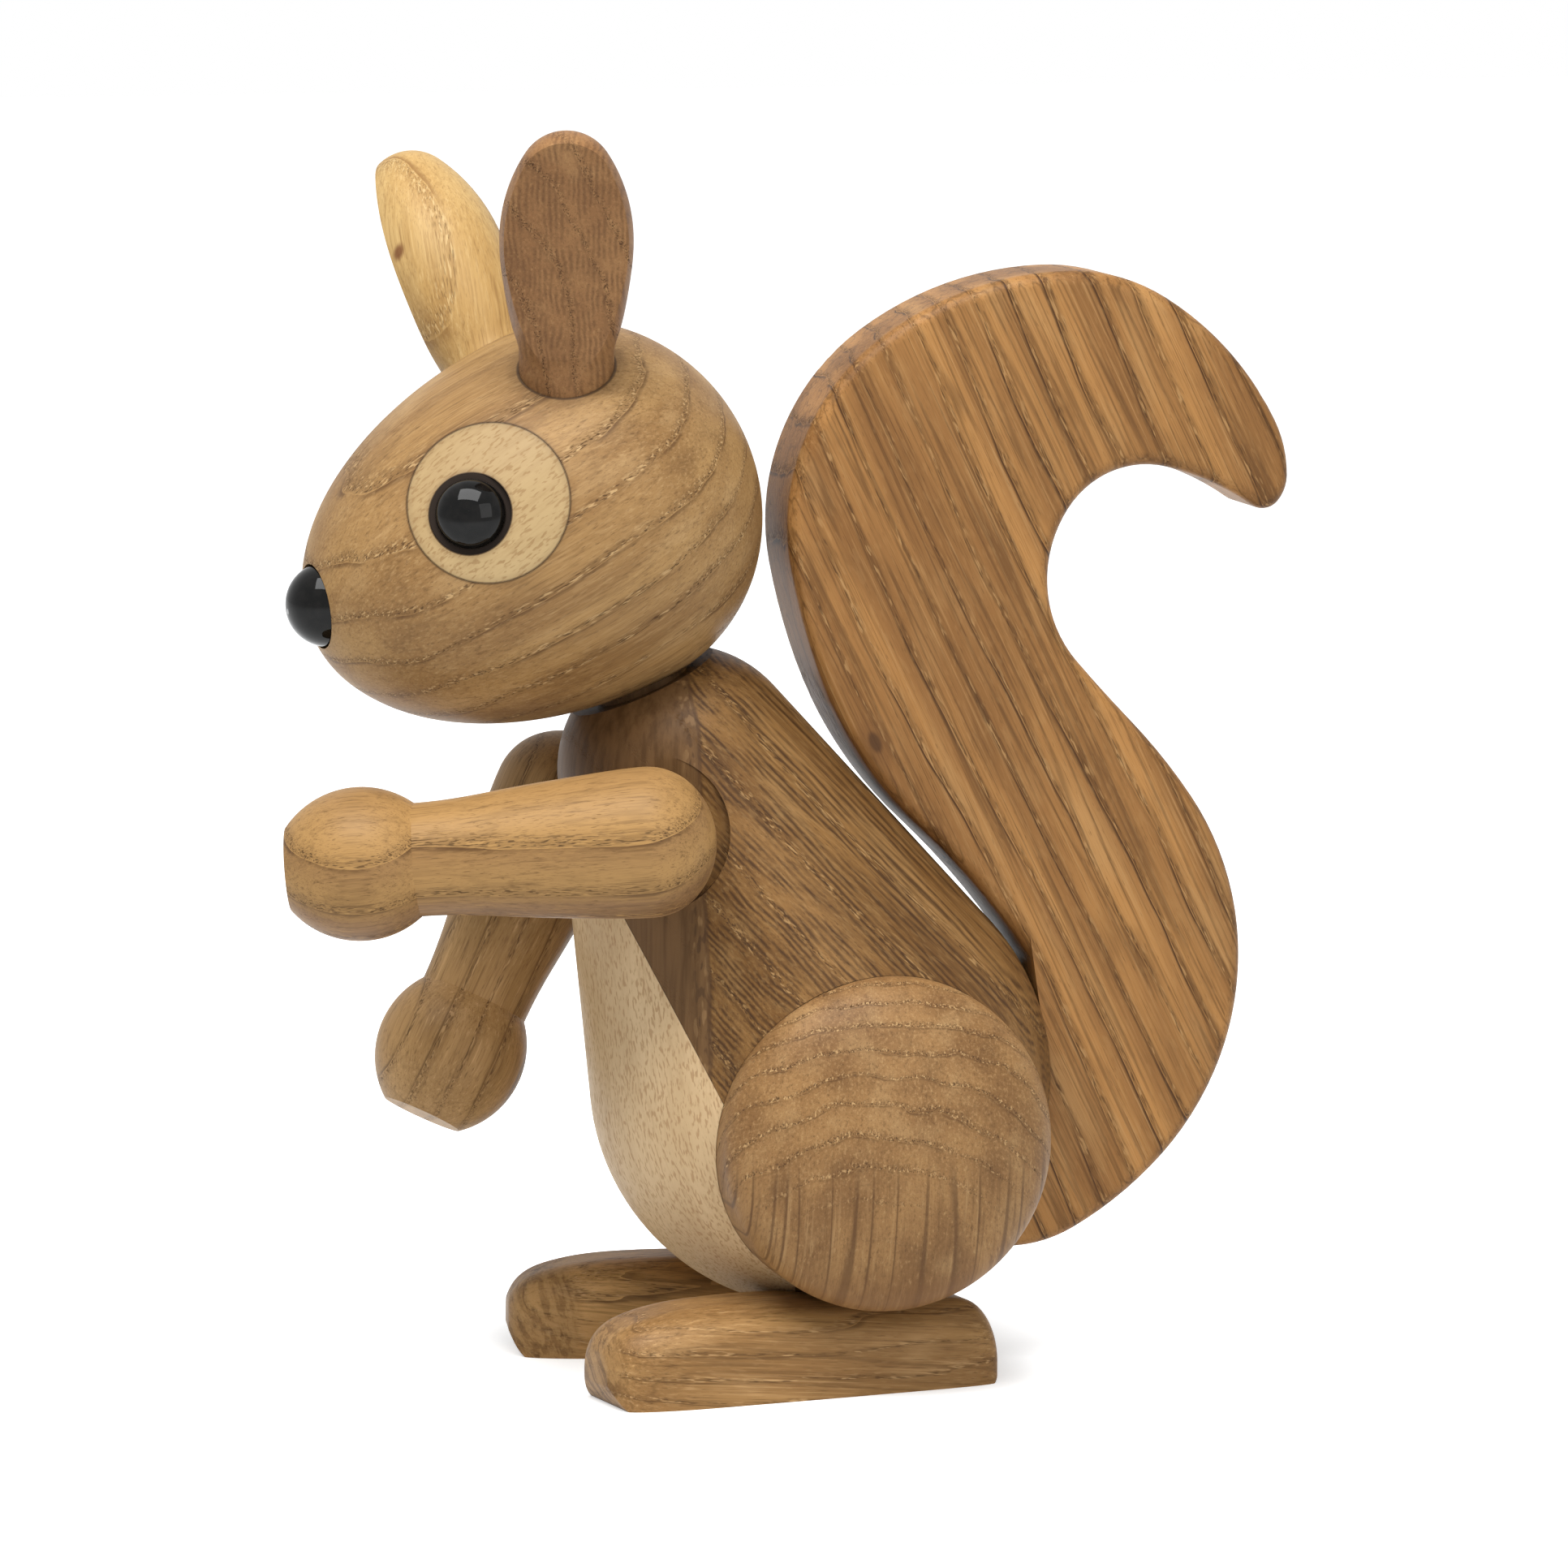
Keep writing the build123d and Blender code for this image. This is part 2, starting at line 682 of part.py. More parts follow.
# Arms and shoulder pegs
arm_angles = {"left": left_arm_angle, "right": right_arm_angle}
for side, side_name in sides:
    shoulder = shoulder_plane(side)
    lowered = radians(arm_angles[side_name])
    arm_plane = Plane(
        origin=shoulder.origin,
        x_dir=shoulder.x_dir * cos(lowered) - Vector(0, 0, sin(lowered)),
        z_dir=shoulder.z_dir,
    )
    with BuildPart() as arm:
        with BuildSketch(arm_plane):
            with BuildLine():
                hand = ThreePointArc(
                    (wrist_reach, wrist_radius),
                    (hand_reach, hand_radius),
                    (tip_reach, tip_radius),
                )
                end_joint = (-arm_end * cos(radians(45)), shoulder_radius * sin(radians(45)))
                end_low = TangentArc((-arm_end, 0), end_joint, tangent=(0, 1))
                end_high = TangentArc(end_low @ 1, (0, shoulder_radius), tangent=end_low % 1)
                arm_points = [end_high @ 1]
                for out, along in forearm_shares:
                    arm_points.append((wrist_reach * along, shoulder_radius * out))
                arm_points.append(hand @ 0)
                Spline(*arm_points, tangents=((1, 0), (1, 0)))
                Polyline(hand @ 1, (tip_reach, 0), (-arm_end, 0))
            make_face()
        revolve(axis=Axis(arm_plane.origin, arm_plane.x_dir))
        # Flat inner side, and the peg's hole
        with BuildSketch(shoulder.offset(-arm_flat)):
            Circle(wrist_reach)
        extrude(amount=-cut_overrun, mode=Mode.SUBTRACT)
        with BuildSketch(shoulder.offset(-arm_flat)):
            Circle(shoulder_peg_radius + glue_gap)
        extrude(amount=arm_flat + shoulder_peg_in_arm + glue_gap, mode=Mode.SUBTRACT)
    save(arm, "arm_" + side_name)

    with BuildPart() as shoulder_peg:
        with BuildSketch(shoulder.offset(-arm_flat - shoulder_peg_in_body)):
            Circle(shoulder_peg_radius)
        extrude(amount=arm_flat + shoulder_peg_in_body + shoulder_peg_in_arm)
    save(shoulder_peg, "shoulder_peg_" + side_name)
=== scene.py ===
import math

import bmesh
import bpy
import numpy as np
from mathutils import Matrix, Vector


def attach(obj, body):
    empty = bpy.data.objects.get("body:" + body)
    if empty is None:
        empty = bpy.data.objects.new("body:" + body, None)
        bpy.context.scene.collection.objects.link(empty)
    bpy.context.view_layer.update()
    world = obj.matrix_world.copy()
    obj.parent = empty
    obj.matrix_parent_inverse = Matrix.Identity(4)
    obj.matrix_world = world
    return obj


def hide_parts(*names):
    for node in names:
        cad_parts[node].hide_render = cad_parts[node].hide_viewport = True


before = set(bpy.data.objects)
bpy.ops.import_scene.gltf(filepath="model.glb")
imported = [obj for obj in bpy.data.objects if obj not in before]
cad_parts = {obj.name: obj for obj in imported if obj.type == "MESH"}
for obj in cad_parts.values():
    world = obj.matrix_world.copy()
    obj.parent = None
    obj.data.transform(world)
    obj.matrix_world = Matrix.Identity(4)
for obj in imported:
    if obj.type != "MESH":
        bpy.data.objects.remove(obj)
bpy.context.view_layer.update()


# Body: a pear of oiled oak, turned on a lathe on an axis that leans forward.
# Its front third is a second, browner slice with the ring line between them.
# It is sanded fine and oiled, so the pores stay open under a satin skin.
def sanded_copy(node, name):
    """The piece's own shape, welded and smoothed, with its sanded arrises kept."""
    weld_distance = 2e-6
    crisp_angle = math.radians(38.0)
    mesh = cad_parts[node].data.copy()
    mesh.name = name
    shell = bmesh.new()
    shell.from_mesh(mesh)
    bmesh.ops.remove_doubles(shell, verts=shell.verts, dist=weld_distance)
    for face in shell.faces:
        face.smooth = True
    for edge in shell.edges:
        if len(edge.link_faces) == 2:
            edge.smooth = edge.calc_face_angle(0.0) < crisp_angle
    shell.to_mesh(mesh)
    shell.free()
    mesh.materials.clear()
    piece = bpy.data.objects.new(name, mesh)
    bpy.context.scene.collection.objects.link(piece)
    return piece


def fit_piece(piece, node, body, finish):
    """Gives the piece its finish and sets it on its body in place of the plain solid."""
    piece.data.materials.append(finish)
    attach(piece, body)
    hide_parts(node)


def feed(tree, socket, value):
    """Links an output to the socket, or sets the socket to a plain number or colour."""
    if isinstance(value, bpy.types.NodeSocket):
        tree.links.new(value, socket)
    elif socket.type == "RGBA":
        socket.default_value = (*value, 1.0)
    else:
        socket.default_value = value


def sum_step(tree, operation, *values):
    """One sum, with outputs or plain numbers as its values."""
    step = tree.nodes.new("ShaderNodeMath")
    step.operation = operation
    for place, value in enumerate(values):
        feed(tree, step.inputs[place], value)
    return step.outputs[0]


def fade(tree, value, start, end, low=0.0, high=1.0):
    """A soft step in the value from start to end."""
    step = tree.nodes.new("ShaderNodeMapRange")
    step.interpolation_type = "SMOOTHSTEP"
    tree.links.new(value, step.inputs["Value"])
    for label, amount in (("From Min", start), ("From Max", end), ("To Min", low), ("To Max", high)):
        feed(tree, step.inputs[label], amount)
    return step.outputs["Result"]


def stretched(tree, place, stretch, shift=(0.0, 0.0, 0.0)):
    """The place in the timber, scaled so that marks run long with the grain."""
    step = tree.nodes.new("ShaderNodeVectorMath")
    step.operation = "MULTIPLY_ADD"
    tree.links.new(place, step.inputs[0])
    step.inputs[1].default_value = stretch
    step.inputs[2].default_value = shift
    return step.outputs[0]


def mottle(tree, place, detail=2.0, roughness=0.5):
    """Soft noise, one cloud to each unit of the place."""
    step = tree.nodes.new("ShaderNodeTexNoise")
    step.inputs["Scale"].default_value = 1.0
    step.inputs["Detail"].default_value = detail
    step.inputs["Roughness"].default_value = roughness
    tree.links.new(place, step.inputs["Vector"])
    return step.outputs["Fac"]


def axes_of(tree, place):
    """The x, y and z of a place."""
    step = tree.nodes.new("ShaderNodeSeparateXYZ")
    tree.links.new(place, step.inputs[0])
    return step.outputs


def distance_off_axis(tree, place):
    """How far a place lies from its own z axis."""
    flat = stretched(tree, place, (1.0, 1.0, 0.0))
    step = tree.nodes.new("ShaderNodeVectorMath")
    step.operation = "LENGTH"
    tree.links.new(flat, step.inputs[0])
    return step.outputs["Value"]


def stain(tree, amount, under, over):
    """One colour laid over another. The colours of a Mix node are its inputs 6 and 7 and its output 2."""
    step = tree.nodes.new("ShaderNodeMix")
    step.data_type = "RGBA"
    for place, value in ((0, amount), (6, under), (7, over)):
        feed(tree, step.inputs[place], value)
    return step.outputs[2]


def make_oak_timber():
    """Oak as it grows: rings round a pith, a row of open pores at the start of each, long fibres and streaks.
    The place is in millimetres, x and y across the grain and z along it."""
    tree = bpy.data.node_groups.new("oak_timber", "ShaderNodeTree")
    tree.interface.new_socket("Place", in_out="INPUT", socket_type="NodeSocketVector")
    for label in (
        "Ring Width", "Waviness", "Ring Contrast", "Pore Amount", "Fleck Amount", "Streak Amount",
        "Stripe Amount", "Sap Radius",
    ):
        tree.interface.new_socket(label, in_out="INPUT", socket_type="NodeSocketFloat")
    for label in ("Pale", "Brown", "Dark", "Sap"):
        tree.interface.new_socket(label, in_out="INPUT", socket_type="NodeSocketColor")
    tree.interface.new_socket("Colour", in_out="OUTPUT", socket_type="NodeSocketColor")
    tree.interface.new_socket("Roughness", in_out="OUTPUT", socket_type="NodeSocketFloat")
    tree.interface.new_socket("Height", in_out="OUTPUT", socket_type="NodeSocketFloat")
    given = tree.nodes.new("NodeGroupInput").outputs
    place = given["Place"]

    def times(*values):
        product = values[0]
        for value in values[1:]:
            product = sum_step(tree, "MULTIPLY", product, value)
        return product

    def grain(scale, shift=(0.0, 0.0, 0.0), detail=2.0, roughness=0.5):
        return mottle(tree, stretched(tree, place, scale, shift), detail, roughness)

    # Rings round the pith, pulled about by slow waves along the trunk
    radius = distance_off_axis(tree, place)
    slow = sum_step(tree, "SUBTRACT", grain((0.045, 0.045, 0.016)), 0.5)
    quick = sum_step(tree, "SUBTRACT", grain((0.25, 0.25, 0.05), (31.0, 7.0, 3.0)), 0.5)
    swing = times(sum_step(tree, "MULTIPLY_ADD", quick, 0.2, slow), given["Waviness"])
    grown = sum_step(tree, "ADD", radius, swing)
    ring = sum_step(tree, "DIVIDE", grown, given["Ring Width"])
    season = sum_step(tree, "FRACT", ring)
    year_step = tree.nodes.new("ShaderNodeTexWhiteNoise")
    year_step.noise_dimensions = "1D"
    tree.links.new(sum_step(tree, "FLOOR", ring), year_step.inputs["W"])
    year = year_step.outputs["Value"]
    porous_end = sum_step(tree, "MULTIPLY_ADD", year, 0.20, 0.16)
    porous = times(fade(tree, season, porous_end, 0.05), fade(tree, season, 0.0, 0.03))
    late = times(fade(tree, season, 0.35, 1.0), sum_step(tree, "MULTIPLY_ADD", year, 0.8, 0.3))
    broken = fade(tree, grain((0.3, 0.3, 0.03), (2.0, 8.0, 5.0)), 0.32, 0.62)
    ring_line = times(fade(tree, season, 0.90, 0.985), broken)

    # Fibres, streaks, pores and flecks
    broad = grain((0.13, 0.13, 0.012), (5.0, 9.0, 1.0))
    fibre = grain((2.6, 2.6, 0.04), (0.0, 0.0, 0.0), 3.0, 0.6)
    hair = grain((8.0, 8.0, 0.15), (3.0, 1.0, 8.0), 2.0, 0.6)
    streak = fade(tree, sum_step(tree, "ABSOLUTE", sum_step(
        tree, "SUBTRACT", grain((0.42, 0.42, 0.010), (7.0, 2.0, 4.0), 1.0), 0.5)), 0.035, 0.004)
    pore = grain((6.0, 6.0, 0.55), (11.0, 4.0, 2.0), 1.0)
    pores = sum_step(tree, "MAXIMUM", times(fade(tree, pore, 0.54, 0.65), porous),
                     times(fade(tree, pore, 0.67, 0.76), 0.45))
    pores = sum_step(tree, "MINIMUM", times(pores, given["Pore Amount"]), 1.0)
    fleck = times(fade(tree, grain((3.0, 3.0, 0.45), (2.0, 14.0, 6.0), 1.0), 0.55, 0.67),
                  sum_step(tree, "MULTIPLY_ADD", porous, 0.8, 0.2), given["Fleck Amount"])
    stripe_pitch = 0.72
    stripe_turn = sum_step(tree, "MULTIPLY_ADD", grain((0.30, 0.30, 0.06), (9.0, 3.0, 1.0), 3.0), 13.0,
                           times(axes_of(tree, place)[0], 2.0 * math.pi / stripe_pitch))
    stripe = times(sum_step(tree, "MULTIPLY_ADD", sum_step(tree, "SINE", stripe_turn), 0.5, 0.5),
                   fade(tree, grain((0.5, 0.5, 0.06), (4.0, 6.0, 3.0)), 0.34, 0.60), given["Stripe Amount"])

    # Colour, from the pale wood down to the pore
    pore_black = (0.046, 0.022, 0.010)
    sap_blur = 0.7
    cloud = grain((0.20, 0.20, 0.06), (1.0, 12.0, 7.0), 3.0)
    wood = stain(tree, fade(tree, broad, 0.38, 0.62), given["Pale"], given["Brown"])
    wood = stain(tree, fade(tree, grown, sum_step(tree, "SUBTRACT", given["Sap Radius"], sap_blur),
                            sum_step(tree, "ADD", given["Sap Radius"], sap_blur)), wood, given["Sap"])
    for amount, colour in (
        (fade(tree, cloud, 0.52, 0.74, 0.0, 0.30), given["Dark"]),
        (fade(tree, cloud, 0.48, 0.28, 0.0, 0.40), given["Sap"]),
        (times(late, 0.65, given["Ring Contrast"]), given["Brown"]),
        (times(porous, 0.30, given["Ring Contrast"]), given["Dark"]),
        (fade(tree, fibre, 0.50, 0.80, 0.0, 0.62), given["Dark"]),
        (fade(tree, fibre, 0.46, 0.22, 0.0, 0.60), given["Sap"]),
        (fade(tree, hair, 0.52, 0.80, 0.0, 0.58), given["Dark"]),
        (times(stripe, 0.85), given["Dark"]),
        (times(streak, 0.55, given["Streak Amount"]), given["Dark"]),
        (times(ring_line, 0.80, given["Ring Contrast"]), given["Dark"]),
        (times(fleck, 0.90), given["Sap"]),
        (times(pores, 0.72), pore_black),
    ):
        wood = stain(tree, amount, wood, colour)

    height = sum_step(tree, "MULTIPLY_ADD", fibre, 0.22, times(pores, -1.0))
    height = sum_step(tree, "MULTIPLY_ADD", hair, 0.12, height)
    shine = sum_step(tree, "MULTIPLY_ADD", pores, 0.25, 0.46)
    out = tree.nodes.new("NodeGroupOutput").inputs
    tree.links.new(wood, out["Colour"])
    tree.links.new(shine, out["Roughness"])
    tree.links.new(height, out["Height"])
    return tree


oak_timber = make_oak_timber()


def in_millimetres(tree, where, centre, along, face):
    """The place in millimetres from a centre, with z along one way and x towards another."""
    grain = Vector(along).normalized()
    side = Vector(face) - grain * grain.dot(Vector(face))
    across = side.normalized()
    board = tree.nodes.new("ShaderNodeMapping")
    board.vector_type = "TEXTURE"
    board.inputs["Location"].default_value = centre
    turned = Matrix((across, grain.cross(across), grain)).transposed()
    board.inputs["Rotation"].default_value = turned.to_euler()
    board.inputs["Scale"].default_value = (0.001, 0.001, 0.001)
    tree.links.new(where, board.inputs["Vector"])
    return board.outputs[0]


def new_finish(name):
    """An empty finish: the material, its nodes, its shader and the place on the piece in metres."""
    finish = bpy.data.materials.new(name)
    finish.use_nodes = True
    tree = finish.node_tree
    skin = tree.nodes["Principled BSDF"]
    where = tree.nodes.new("ShaderNodeTexCoord").outputs["Object"]
    return finish, tree, skin, where


def add_relief(tree, skin, height, strength, depth):
    """Fibres and pores that can be felt, their depth in metres."""
    relief = tree.nodes.new("ShaderNodeBump")
    relief.inputs["Strength"].default_value = strength
    relief.inputs["Distance"].default_value = depth
    tree.links.new(height, relief.inputs["Height"])
    tree.links.new(relief.outputs[0], skin.inputs["Normal"])


def oak_finish(name, along, rings, pith, marks=(), **timber):
    """Oiled oak. along is the grain, rings the way out from the pith, pith a point on its line.
    Each mark is a function that paints one more thing over the wood. A setting may be a function too."""
    finish, tree, skin, where = new_finish(name)
    wood = tree.nodes.new("ShaderNodeGroup")
    wood.node_tree = oak_timber
    tree.links.new(in_millimetres(tree, where, pith, along, rings), wood.inputs["Place"])
    settings = {
        "Ring Width": 3.0, "Waviness": 4.0, "Ring Contrast": 1.0, "Pore Amount": 1.0, "Fleck Amount": 0.5,
        "Streak Amount": 0.3, "Stripe Amount": 0.0, "Sap Radius": 900.0,
        "Pale": (0.47, 0.27, 0.115), "Brown": (0.36, 0.19, 0.075),
        "Dark": (0.105, 0.048, 0.018), "Sap": (0.60, 0.37, 0.165),
    }
    settings.update({label.replace("_", " ").title(): value for label, value in timber.items()})
    for label, value in settings.items():
        feed(tree, wood.inputs[label], value(tree, where) if callable(value) else value)
    colour = wood.outputs["Colour"]
    for mark in marks:
        colour = mark(tree, where, colour)
    tree.links.new(colour, skin.inputs["Base Color"])
    tree.links.new(wood.outputs["Roughness"], skin.inputs["Roughness"])
    skin.inputs["Specular IOR Level"].default_value = 0.15
    add_relief(tree, skin, wood.outputs["Height"], strength=0.4, depth=0.00012)
    return finish


def front_slice(tree, where, wood):
    """The browner wood in front of the last ring line, with pores and pale flecks along the line."""
    plain_light, plain_dark = (0.158, 0.083, 0.033), (0.100, 0.050, 0.018)
    fleck_pale, pore_black, line_dark = (0.31, 0.180, 0.078), (0.045, 0.022, 0.010), (0.060, 0.028, 0.012)
    line_forward, line_sway = 0.0120, 0.0024
    sway = mottle(tree, stretched(tree, where, (60.0, 0.0, 90.0)), 2.0)
    behind_line = sum_step(tree, "ADD", axes_of(tree, where)[1], line_forward)
    depth = sum_step(tree, "MULTIPLY_ADD", sway, line_sway, behind_line)
    fibre = mottle(tree, stretched(tree, where, (900.0, 900.0, 60.0)), 3.0, 0.6)
    plain = stain(tree, fade(tree, fibre, 0.35, 0.70), plain_light, plain_dark)
    wood = stain(tree, fade(tree, depth, 0.0003, -0.0003), wood, plain)
    specks = mottle(tree, stretched(tree, where, (1300.0, 1300.0, 420.0), (3.0, 1.0, 7.0)), 1.0)
    band = sum_step(tree, "MULTIPLY", fade(tree, depth, -0.0024, -0.0010), fade(tree, depth, 0.0002, -0.0002))
    wood = stain(tree, sum_step(tree, "MULTIPLY", band, fade(tree, specks, 0.56, 0.68, 0.0, 0.5)),
                 wood, fleck_pale)
    wood = stain(tree, sum_step(tree, "MULTIPLY", band, fade(tree, specks, 0.42, 0.33, 0.0, 0.55)),
                 wood, pore_black)
    line = fade(tree, sum_step(tree, "ABSOLUTE", depth), 0.00040, 0.00010, 0.0, 0.55)
    return stain(tree, line, wood, line_dark)


body_oak = oak_finish(
    "body_oak", along=(0.05, 0.68, -0.73), rings=(0.10, 0.73, 0.68), pith=(0.0, -0.070, -0.040),
    marks=(front_slice,),
    ring_width=6.0, waviness=5.0, ring_contrast=0.4, pore_amount=1.3, fleck_amount=1.2, stripe_amount=1.0,
    streak_amount=0.2,
    pale=(0.250, 0.128, 0.041), brown=(0.158, 0.075, 0.022), dark=(0.040, 0.017, 0.006),
    sap=(0.320, 0.186, 0.073),
)
body = sanded_copy("body", "pear_body")
fit_piece(body, "body", "torso", body_oak)


# Belly: a pale maple slice, glued to the flat front of the pear before turning.
# Maple shows no pores, only short brown flecks where its rays are cut.
def maple_finish(name, along, rings, pith, pale=(0.66, 0.475, 0.27), fleck=(0.36, 0.20, 0.088), marks=()):
    """Sanded maple or birch. along, rings, pith and marks are as for the oak."""
    finish, tree, skin, where = new_finish(name)
    place = in_millimetres(tree, where, pith, along, rings)
    broad = mottle(tree, stretched(tree, place, (0.10, 0.10, 0.03)), 2.0)
    fibre = mottle(tree, stretched(tree, place, (1.6, 1.6, 0.06)), 3.0, 0.6)
    dashes = mottle(tree, stretched(tree, place, (3.0, 3.0, 0.85), (4.0, 2.0, 9.0)), 1.0)
    dash = fade(tree, dashes, 0.52, 0.66)
    warm_share = (0.84, 0.84 * 0.96, 0.84 * 0.90)
    warm = tuple(part * share for part, share in zip(pale, warm_share))
    wood = stain(tree, fade(tree, broad, 0.3, 0.7), pale, warm)
    wood = stain(tree, fade(tree, fibre, 0.42, 0.95, 0.0, 0.55), wood, fleck)
    wood = stain(tree, sum_step(tree, "MULTIPLY", dash, 0.60), wood, fleck)
    for mark in marks:
        wood = mark(tree, where, wood)
    tree.links.new(wood, skin.inputs["Base Color"])
    tree.links.new(sum_step(tree, "MULTIPLY_ADD", dash, 0.12, 0.48), skin.inputs["Roughness"])
    skin.inputs["Specular IOR Level"].default_value = 0.18
    add_relief(tree, skin, sum_step(tree, "SUBTRACT", fibre, dash), strength=0.2, depth=0.00006)
    return finish


belly_maple = maple_finish(
    "belly_maple", along=(0.0, -0.25, 0.97), rings=(0.3, -0.9, 0.0), pith=(0.0, 0.1, 0.04),
)
belly = sanded_copy("belly", "maple_belly")
fit_piece(belly, "belly", "torso", belly_maple)


# Pegs and dowels: birch rod with chamfered ends, oak in the neck, driven into the joints.
# The glued dowels are fluted, so that glue can rise beside them as they are driven in.
# The neck and shoulder pegs are smooth, because the head and the arms turn on them.
def make_birch_rod():
    """A rod along Z round the origin, its sizes and flutes given by named inputs."""
    tree = bpy.data.node_groups.new("birch_rod", "GeometryNodeTree")
    for label, kind in (
        ("Radius", "NodeSocketFloat"), ("Length", "NodeSocketFloat"), ("Chamfer", "NodeSocketFloat"),
        ("Flutes", "NodeSocketFloat"), ("Flute Depth", "NodeSocketFloat"), ("Finish", "NodeSocketMaterial"),
    ):
        tree.interface.new_socket(label, in_out="INPUT", socket_type=kind)
    tree.interface.new_socket("Rod", in_out="OUTPUT", socket_type="NodeSocketGeometry")
    given = tree.nodes.new("NodeGroupInput").outputs

    # The axis has four points: an end, the two chamfers' inner edges and the other end
    line = tree.nodes.new("GeometryNodeCurvePrimitiveLine")
    axis = tree.nodes.new("GeometryNodeResampleCurve")
    axis.inputs["Count"].default_value = 4
    tree.links.new(line.outputs[0], axis.inputs["Curve"])
    index = tree.nodes.new("GeometryNodeInputIndex").outputs[0]
    off_middle = sum_step(tree, "ABSOLUTE", sum_step(tree, "SUBTRACT", index, 1.5))
    inner = sum_step(tree, "LESS_THAN", off_middle, 1.0)
    end = sum_step(tree, "SIGN", sum_step(tree, "SUBTRACT", index, 1.5))
    half = sum_step(tree, "SUBTRACT", sum_step(tree, "MULTIPLY", given["Length"], 0.5),
                    sum_step(tree, "MULTIPLY", given["Chamfer"], inner))
    place = tree.nodes.new("ShaderNodeCombineXYZ")
    tree.links.new(sum_step(tree, "MULTIPLY", half, end), place.inputs[2])
    spread = tree.nodes.new("GeometryNodeSetPosition")
    tree.links.new(axis.outputs[0], spread.inputs["Geometry"])
    tree.links.new(place.outputs[0], spread.inputs["Position"])
    narrow = sum_step(tree, "SUBTRACT", 1.0, sum_step(
        tree, "MULTIPLY", sum_step(tree, "SUBTRACT", 1.0, inner),
        sum_step(tree, "DIVIDE", given["Chamfer"], given["Radius"])))
    tapered = tree.nodes.new("GeometryNodeSetCurveRadius")
    tree.links.new(spread.outputs[0], tapered.inputs["Curve"])
    tree.links.new(narrow, tapered.inputs["Radius"])

    # The section is a circle with shallow flutes round it
    section = tree.nodes.new("GeometryNodeCurvePrimitiveCircle")
    section.inputs["Resolution"].default_value = 96
    tree.links.new(given["Radius"], section.inputs["Radius"])
    point = tree.nodes.new("GeometryNodeInputPosition").outputs[0]
    apart = axes_of(tree, point)
    bearing = sum_step(tree, "ARCTAN2", apart[1], apart[0])
    turn = sum_step(tree, "MULTIPLY", bearing, given["Flutes"])
    wave = sum_step(tree, "MAXIMUM", sum_step(tree, "COSINE", turn), 0.0)
    share = sum_step(tree, "SUBTRACT", 1.0, sum_step(
        tree, "MULTIPLY", wave, sum_step(tree, "DIVIDE", given["Flute Depth"], given["Radius"])))
    cut = tree.nodes.new("ShaderNodeVectorMath")
    cut.operation = "SCALE"
    tree.links.new(point, cut.inputs[0])
    tree.links.new(share, cut.inputs["Scale"])
    fluted = tree.nodes.new("GeometryNodeSetPosition")
    tree.links.new(section.outputs[0], fluted.inputs["Geometry"])
    tree.links.new(cut.outputs[0], fluted.inputs["Position"])

    drawn = tree.nodes.new("GeometryNodeCurveToMesh")
    drawn.inputs["Fill Caps"].default_value = True
    tree.links.new(tapered.outputs[0], drawn.inputs["Curve"])
    tree.links.new(fluted.outputs[0], drawn.inputs["Profile Curve"])
    real = tree.nodes.new("GeometryNodeRealizeInstances")
    tree.links.new(drawn.outputs[0], real.inputs[0])
    finished = tree.nodes.new("GeometryNodeSetMaterial")
    tree.links.new(real.outputs[0], finished.inputs["Geometry"])
    tree.links.new(given["Finish"], finished.inputs["Material"])
    tree.links.new(finished.outputs[0], tree.nodes.new("NodeGroupOutput").inputs[0])
    return tree


birch_rod = make_birch_rod()
birch_bare = maple_finish("birch_bare", along=(0.0, 0.3, 0.95), rings=(1.0, 0.0, 0.0), pith=(0.05, 0.0, 0.0),
                          pale=(0.60, 0.43, 0.25), fleck=(0.38, 0.24, 0.12))


def rod_in_place(node, flutes, finish):
    """The rod of a node's own length and thickness, on that node's axis."""
    chamfer_share, flute_share = 0.18, 0.07
    points = np.array([corner.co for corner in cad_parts[node].data.vertices])
    middle = (points.max(axis=0) + points.min(axis=0)) / 2.0
    axis = np.linalg.svd(points - points.mean(axis=0), full_matrices=False)[2][0]
    reach = (points - middle) @ axis
    middle = middle + axis * (reach.max() + reach.min()) / 2.0
    off_axis = (points - middle) - np.outer((points - middle) @ axis, axis)
    radius = float(np.linalg.norm(off_axis, axis=1).max())
    sizes = {
        "Radius": radius, "Length": float(reach.max() - reach.min()), "Chamfer": radius * chamfer_share,
        "Flutes": float(flutes), "Flute Depth": radius * flute_share if flutes else 0.0, "Finish": finish,
    }
    blank = bpy.data.objects.new(node + "_blank", bpy.data.meshes.new(node + "_blank"))
    bpy.context.scene.collection.objects.link(blank)
    maker = blank.modifiers.new("birch_rod", "NODES")
    maker.node_group = birch_rod
    for item in birch_rod.interface.items_tree:
        if item.in_out == "INPUT":
            maker[item.identifier] = sizes[item.name]
    depsgraph = bpy.context.evaluated_depsgraph_get()
    mesh = bpy.data.meshes.new_from_object(blank.evaluated_get(depsgraph))
    bpy.data.objects.remove(blank)
    mesh.transform(Matrix.Translation(middle) @ Vector(axis).to_track_quat("Z", "Y").to_matrix().to_4x4())
    mesh.name = node + "_rod"
    mesh.shade_smooth()
    mesh.set_sharp_from_angle(angle=math.radians(35.0))
    rod = bpy.data.objects.new(node + "_rod", mesh)
    bpy.context.scene.collection.objects.link(rod)
    return rod


